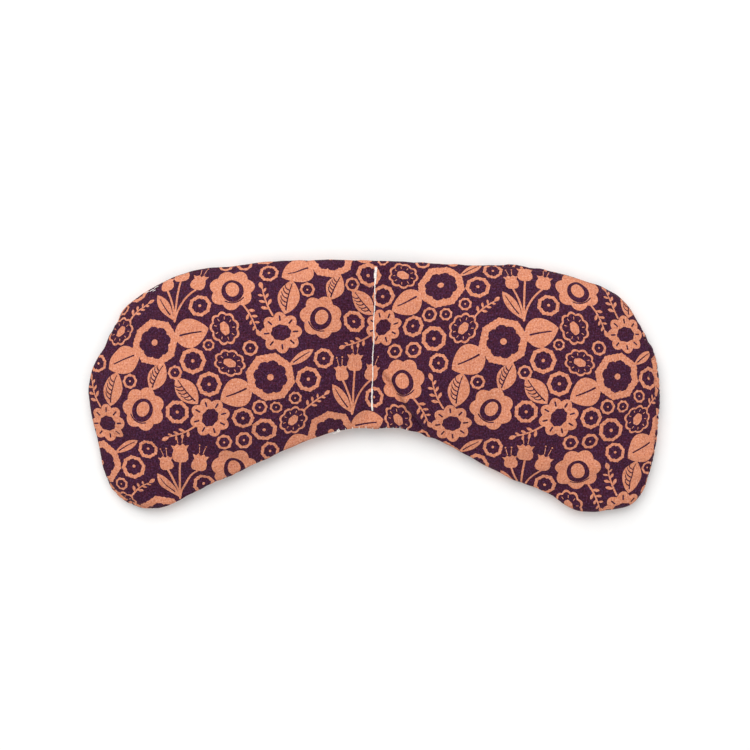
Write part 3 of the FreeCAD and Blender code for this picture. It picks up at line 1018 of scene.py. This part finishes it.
class Nodes:
    """A short way to build one material's nodes."""

    def __init__(self, name):
        self.material = bpy.data.materials.new(name)
        self.material.use_nodes = True
        self.tree = self.material.node_tree
        self.shader = self.tree.nodes["Principled BSDF"]

    def add(self, kind, inputs=(), **settings):
        """A node of that kind, with its inputs set or linked by name or number."""
        node = self.tree.nodes.new(f"ShaderNode{kind}")
        for key, value in settings.items():
            setattr(node, key, value)
        self.put(node, inputs)
        return node

    def put(self, node, inputs):
        """Sets or links a node's inputs."""
        for key, value in dict(inputs).items():
            if isinstance(value, bpy.types.NodeSocket):
                self.tree.links.new(value, node.inputs[key])
            else:
                node.inputs[key].default_value = value

    def math(self, operation, a, b=0.0):
        return self.add("Math", {0: a, 1: b}, operation=operation).outputs[0]

    def vector(self, operation, inputs):
        return self.add("VectorMath", inputs, operation=operation).outputs[0]

    def blend(self, share, a, b):
        """A number between a and b."""
        return self.add("Mix", {0: share, 2: a, 3: b}).outputs[0]

    def mix(self, share, a, b, blend_type="MIX"):
        """A colour between a and b."""
        return self.add("Mix", {0: share, 6: a, 7: b}, data_type="RGBA", blend_type=blend_type).outputs[2]

    def noise(self, vector, scale, detail=2.0, roughness=0.5, output=0):
        inputs = {"Vector": vector, "Scale": scale, "Detail": detail, "Roughness": roughness}
        return self.add("TexNoise", inputs).outputs[output]

    def spread(self, value, low, high, new_low=0.0, new_high=1.0):
        return self.add("MapRange", {0: value, 1: low, 2: high, 3: new_low, 4: new_high}).outputs[0]

    def scaled(self, vector, x, y, z=1.0):
        return self.add("Mapping", {"Vector": vector, "Scale": (x, y, z)}).outputs[0]

    def bump(self, height, distance, strength=1.0, below=None):
        inputs = {"Height": height, "Distance": distance * MM, "Strength": strength}
        if below is not None:
            inputs["Normal"] = below
        return self.add("Bump", inputs).outputs[0]

    def in_mm(self, place):
        return self.vector("SCALE", {0: place, "Scale": 1 / MM})

    def flat_place(self):
        """The place on the piece's flat pattern, in mm."""
        return self.in_mm(self.add("UVMap", uv_map="flat").outputs[0])

    def finish(self, colour, roughness, normal, **constants):
        """Links the shader's inputs and sets its constants. Returns the material."""
        self.put(self.shader, {"Base Color": colour, "Roughness": roughness, "Normal": normal})
        self.put(self.shader, {name.replace("_", " "): value for name, value in constants.items()})
        return self.material


THREAD_PITCH = 0.46          # from one thread of the weave to the next


def woven(n, flat):
    """The height of a plain weave with uneven threads, and where the warp lies over the weft."""
    wander = n.vector("SUBTRACT", {0: n.noise(flat, 0.35, 1.0, output=1), 1: (0.5, 0.5, 0.5)})
    moved = n.vector("ADD", {0: flat, 1: n.vector("SCALE", {0: wander, "Scale": 0.9})})
    place = n.add("SeparateXYZ", {0: moved}).outputs
    x, y = (n.math("MULTIPLY", part, math.pi / THREAD_PITCH) for part in place[:2])
    warp, weft = (n.math("ABSOLUTE", n.math("SINE", part)) for part in (x, y))
    over = n.math("GREATER_THAN", n.math("MULTIPLY", n.math("COSINE", x), n.math("COSINE", y)))
    high_warp = n.math("MULTIPLY", warp, n.spread(weft, 0, 1, 0.55, 1.0))
    high_weft = n.math("MULTIPLY", weft, n.spread(warp, 0, 1, 0.55, 1.0))
    return n.blend(over, high_weft, high_warp), over


# A printed colour: its deep and bright shades, and then each blotch's shade and strength, for slow drift,
# pale specks and dark flecks.
PLUM = (linear(44, 8, 25), linear(84, 30, 52),
        ((linear(56, 23, 50), 0.5), (linear(92, 58, 96), 0.8), (linear(22, 2, 12), 0.8)))
PEACH = (linear(198, 118, 90), linear(228, 154, 120),
         ((linear(222, 140, 98), 0.4), (linear(242, 184, 164), 0.7), (linear(168, 86, 60), 0.6)))
WRONG_DEEP, WRONG_BRIGHT = linear(128, 84, 88), linear(158, 112, 108)
SHEEN = linear(240, 205, 205)


def cotton(name, printed):
    """Woven cotton, printed in two colours or its plain wrong side."""
    n = Nodes(name)
    flat = n.flat_place()
    weave, over = woven(n, flat)
    warp_slub = n.noise(n.scaled(flat, 2.2, 0.16), 1.0, 3.0, 0.6)
    weft_slub = n.noise(n.scaled(flat, 0.16, 2.2), 1.0, 3.0, 0.6)
    slub = n.blend(over, weft_slub, warp_slub)
    speck = n.noise(flat, 1.35, 2.0, 0.65)
    if printed:
        ink = n.add("Attribute", attribute_name="ink", attribute_type="GEOMETRY").outputs[2]
        fleck = n.noise(n.scaled(flat, 1.7, 1.1), 1.0, 1.0, 0.5)
        drift = n.noise(flat, 0.28, 2.0, 0.6)
        shades = []
        for (deep, bright, blotches), speck_high in ((PLUM, 0.68), (PEACH, 0.7)):
            shade = n.mix(n.spread(slub, 0.35, 0.65), deep, bright)
            spots = ((drift, 0.42, 0.62), (speck, 0.5, speck_high), (fleck, 0.5, 0.3))
            for (spot, low, high), (tint, strength) in zip(spots, blotches):
                shade = n.mix(n.spread(spot, low, high, 0.0, strength), shade, tint)
            shades.append(shade)
        colour = n.mix(ink, *shades)
    else:
        colour = n.mix(n.spread(slub, 0.3, 0.7), WRONG_DEEP, WRONG_BRIGHT)
    # Painted shade: the weave's hollows are painted darker and its thread crowns a touch lighter, following
    # the weave's own height, times a slow random change of tone.
    patch = n.spread(n.noise(flat, 0.05, 3.0, 0.6), 0.3, 0.7, 0.95, 1.05)
    shade = n.math("MULTIPLY", n.spread(weave, 0.1, 0.9, 0.82, 1.06), patch)
    weave_shade_and_tone = n.add("CombineColor", {0: shade, 1: shade, 2: shade}).outputs[0]
    height = n.math("ADD", weave, n.math("MULTIPLY", slub, 0.6))
    creased = n.bump(n.noise(flat, 0.33, 3.0, 0.55), 0.16)
    return n.finish(n.mix(1.0, colour, weave_shade_and_tone, "MULTIPLY"), n.spread(speck, 0.3, 0.7, 0.78, 0.92),
                    n.bump(height, 0.05, 0.8, creased), Specular_IOR_Level=0.16, Sheen_Weight=0.05,
                    Sheen_Roughness=0.45, Sheen_Tint=SHEEN)


def thread_material(name, deep, bright):
    """Twisted sewing thread."""
    n = Nodes(name)
    place = n.in_mm(n.add("TexCoord").outputs["Object"])
    fibres = n.noise(n.scaled(place, 9.0, 3.0, 9.0), 1.0, 3.0, 0.6)
    colour = n.mix(n.spread(fibres, 0.3, 0.7), deep, bright)
    colour = n.mix(n.spread(n.noise(place, 0.5), 0.4, 0.7, 0.0, 0.25), colour, deep)
    return n.finish(colour, n.spread(fibres, 0.3, 0.7, 0.5, 0.7), n.bump(fibres, 0.03, 0.7), Sheen_Weight=0.3)


def seed_material():
    """Flaxseed: glossy brown grains, each its own shade."""
    n = Nodes("flaxseed")
    place = {"Vector": n.scaled(n.flat_place(), 0.42, 0.3), "Scale": 1.0}
    gap = n.add("TexVoronoi", place, feature="DISTANCE_TO_EDGE").outputs[0]
    shade = n.add("SeparateColor", {0: n.add("TexVoronoi", place).outputs[1]}).outputs[0]
    colour = n.mix(shade, linear(104, 62, 34), linear(158, 104, 58))
    # Painted shade: darker brown along the edges between the grains, where shade falls in the gaps between
    # seeds.
    colour = n.mix(n.spread(gap, 0.0, 0.12, 0.75, 0.0), colour, linear(46, 26, 16))
    return n.finish(colour, n.spread(shade, 0, 1, 0.28, 0.42), n.bump(n.spread(gap, 0.0, 0.35), 0.9, 0.9))


PRINTED = cotton("printed_cotton", True)
WRONG_SIDE = cotton("cotton_wrong_side", False)
PALE_THREAD = thread_material("pale_thread", linear(244, 236, 228), linear(255, 254, 250))
THREADS = {"pale_thread": PALE_THREAD,
           "seam_thread": thread_material("seam_thread", linear(58, 26, 40), linear(92, 48, 66))}
SEEDS = seed_material()


# ---- pieces

RESTING_SHARE = 20           # percent of the back's points that press on the floor
STITCH_PITCH = 2.2           # length of one stitch of the middle seam
TURNING_GAP = (14.5, 15.2)   # half the width of the gap that was filled through, and of its hand stitches
GAPE = (-89.5, 38.3)         # where the edge seam gapes
# Each thread that shows there: its start and length in fine steps, and how far in it lies.
GAPE_THREADS = ((-13, 8, 0.55), (-4, 8, 0.8), (5, 7, 0.5), (-6, 5, 1.5))
TAIL = ((0.0, 0.0, 0.0), (-0.5, -0.35, 0.1), (-1.1, -0.75, 0.0), (-1.7, -1.0, -0.25), (-2.2, -1.1, -0.6))


def line_of_stitches(sheet):
    """The middle seam's stitches on one face: a row of short loops, sewn twice over at both ends."""
    count = int(round((STITCH_TOP - STITCH_BOTTOM) / STITCH_PITCH))
    ys = np.linspace(STITCH_TOP, STITCH_BOTTOM, count + 1)
    rows = ((0.0, range(count)), (-0.32, range(2)), (0.3, range(3)), (0.3, range(count - 4, count)))
    loop_y = np.array([0.0, 0.05, 0.16, 0.5, 0.84, 0.95, 1.0])
    loop_height = THREAD * np.array([-0.35, 0.1, 0.5, 0.65, 0.5, 0.1, -0.35])
    parts = []
    for aside, steps in rows:
        for k in steps:
            y = ys[k] + (ys[k + 1] - ys[k]) * loop_y
            lean = 0.03 * (y - (STITCH_TOP + STITCH_BOTTOM) / 2) - 0.25
            x = FOLD_X + aside + lean + 0.16 * np.sin(y * 0.42) + 0.05 * np.sin(y * 1.9 + 1)
            surface, _ = sheet.at(stack(x, y))
            path = stack(x, y, surface[:, 2] + sheet.up * loop_height)
            parts += two_ply(path, THREAD * (1.45 + 0.2 * math.sin(2.1 * k)))
    return parts


def in_turning_gap(ring, half_width):
    return (np.abs(ring[:, 0] - FOLD_X) < half_width) & (ring[:, 1] < 0)


def seam_stitches(up):
    """The hidden seam just inside the edge, on one side of the turned-in cloth."""
    ring = resample(OUTLINE, 0.6)
    index, _ = EDGE.nearest(ring)
    inset = SEAM[index] - stack(*EDGE.outward[index].T * 1.5, 0)
    gap = in_turning_gap(ring, TURNING_GAP[0])
    first = int(np.argmax(gap & ~np.roll(gap, -1))) + 1
    inset = np.roll(inset, -first, axis=0)[~np.roll(gap, -first)]
    rise = stack(0, 0, up * (CLOTH + 0.04 + THREAD * np.array([-0.2, 0.4, 0.5, 0.4, -0.2])))
    return [tube(inset[k:k + 5] + rise, THREAD * 0.4, 5) for k in range(0, len(inset) - 5, 4)]


def gaping_stitches():
    """The threads of the edge seam that show where it gapes, high on the left lobe."""
    ring = resample(OUTLINE, FINE_STEP)
    middle = int(np.argmin(np.linalg.norm(ring - GAPE, axis=1)))
    parts = []
    for start, length, inset in GAPE_THREADS:
        at = ring[middle + start:middle + start + length + 1]
        index, _ = EDGE.nearest(at)
        place, normal = FRONT.at(at - EDGE.outward[index] * inset)
        stand = THREAD * np.sin(np.linspace(0.1, 0.9, len(at)) * math.pi) * 0.8 - 0.16
        parts += two_ply(place + normal * stand[:, None], THREAD)
    return parts


def closing_stitches():
    """Slanted hand stitches over the notch's edge where the bag was filled, with a knot and a short end."""
    ring = resample(OUTLINE, FINE_STEP)
    gap = ring[in_turning_gap(ring, TURNING_GAP[1])]
    gap = gap[np.argsort(gap[:, 0])]
    outward = EDGE.outward[EDGE.nearest(gap)[0]]
    t = np.linspace(0, 1, 9)
    over = np.sin(math.pi * t)
    reach = 0.3 * over - 0.62 * (1 - over)
    parts = []
    for k in range(3, len(gap) - 6, int(round(2.8 / FINE_STEP))):
        at = (k + t * 3).astype(int)
        path = stack(*(gap[at] + outward[at] * reach[:, None]).T, SEAM_Z + 0.62 * np.cos(math.pi * t))
        parts += two_ply(path, THREAD * 0.8)
    centre = np.array([*(gap[2] + outward[2] * 0.25), SEAM_Z + 0.35])
    turn = np.linspace(0, 4.4 * math.pi, 60)
    reach = 1 + 0.3 * np.cos(turn * 0.45)
    knot = stack(np.cos(turn) * reach, np.sin(turn), 0.8 * np.sin(turn * 0.45 + 0.6))
    parts.append(tube(centre + 0.42 * knot, THREAD * 0.5))
    return parts + two_ply(centre + TAIL, THREAD)


def crossing(piece, slot_name, *nodes):
    """A piece that runs from lobe to lobe, in place of those CAD nodes, which it hides."""
    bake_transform(piece)
    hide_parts(*nodes)


def both(node):
    return [f"{node}_{side}" for side in SIDES]


def add_thread(name, slot_name, parts, nodes, pale_parts=()):
    """One thread's stitches, the last of which may be pale."""
    first_pale = len(joined(parts)[1])
    points, faces = joined([*parts, *pale_parts])
    materials = [THREADS[slot_name], PALE_THREAD]
    piece = make_piece(f"{name}_stitches", points, faces, materials, np.arange(len(faces)) >= first_pale)
    crossing(piece, slot_name, *nodes)


flat, front_places, back_places = simulated_bag()
rise = (CROWN_Z - SEAM_Z - CLOTH) / (front_places[:, 2].max() - SEAM_Z)
fall = (SEAM_Z - FLOOR_Z - CLOTH) / (SEAM_Z - np.percentile(back_places[:, 2], RESTING_SHARE))
for places, scale in ((front_places, rise), (back_places, fall)):
    places[:, 2] = SEAM_Z + (places[:, 2] - SEAM_Z) * scale
FRONT = Sheet(flat, front_places, 0)
BACK = Sheet(flat, back_places, 1)

for name, sheet in (("front_panel", FRONT), ("back_panel", BACK)):
    piece = panel(name, sheet, [PRINTED, WRONG_SIDE])
    crossing(piece, "printed_cotton", *both(name))
for side, sign in SIDES.items():
    piece = seed_fill(f"seeds_{side}", FRONT, BACK, sign)
    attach(piece, f"{side}_lobe")
    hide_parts(f"seed_fill_{side}")
for name, sheet in (("centre_needle_thread", FRONT), ("centre_bobbin_thread", BACK)):
    add_thread(name, "pale_thread", line_of_stitches(sheet), [name])
for name, up, pale_parts in (("edge_needle_thread", 1, gaping_stitches()), ("edge_bobbin_thread", -1, ())):
    add_thread(name, "seam_thread", seam_stitches(up), both(name), pale_parts)
add_thread("closing_thread", "pale_thread", closing_stitches(), both("closing_thread"))


# ---- camera, floor and light

VIEW_WIDTH = 1.3155          # what the camera takes in, as a share of the pillow's width
FLOOR_REACH = 6.0            # half the width of the floor, in metres

centre = (CAD_BOX[0] + CAD_BOX[1]) / 2
width = (CAD_BOX[1] - CAD_BOX[0]).x
camera_data = bpy.data.cameras.new("camera")
camera_data.lens = 85
camera_data.sensor_width = 36
camera = add_object("camera", camera_data)
distance = width * VIEW_WIDTH / camera_data.sensor_width * camera_data.lens
camera.location = (centre.x + 0.7 * MM, centre.y + 4.4 * MM, SEAM_Z * MM + distance)
bpy.context.scene.camera = camera


def area_light(name, place, size, power):
    """A round light aimed at the origin."""
    data = bpy.data.lights.new(name, "AREA")
    data.shape = "DISK"
    data.size = size
    data.energy = power
    light = add_object(name, data)
    light.location = place
    light.rotation_mode = "QUATERNION"
    light.rotation_quaternion = (-Vector(place)).to_track_quat("-Z", "Y")


area_light("key", (-0.25, 0.8, 1.2), 1.5, 15)
area_light("fill", (0.45, -0.6, 1.5), 1.4, 3.4)
world = bpy.data.worlds.new("studio")
world.use_nodes = True
background = world.node_tree.nodes["Background"]
background.inputs[0].default_value = (1.0, 0.995, 0.99, 1)
background.inputs[1].default_value = 0.64
bpy.context.scene.world = world
bpy.context.scene.view_settings.view_transform = "Standard"

square = np.array([(-1, -1), (1, -1), (1, 1), (-1, 1)]) * FLOOR_REACH
floor = add_mesh("floor", stack(*square.T, FLOOR_Z * MM), [(0, 1, 2, 3)])
paper = Nodes("paper")
grain = paper.noise(paper.add("TexCoord").outputs["Object"], 220.0)
paper.put(paper.shader, {"Base Color": paper.mix(grain, (0.905, 0.905, 0.9, 1), (0.925, 0.925, 0.92, 1)),
                         "Roughness": 0.9, "Specular IOR Level": 0.1})
floor.data.materials.append(paper.material)
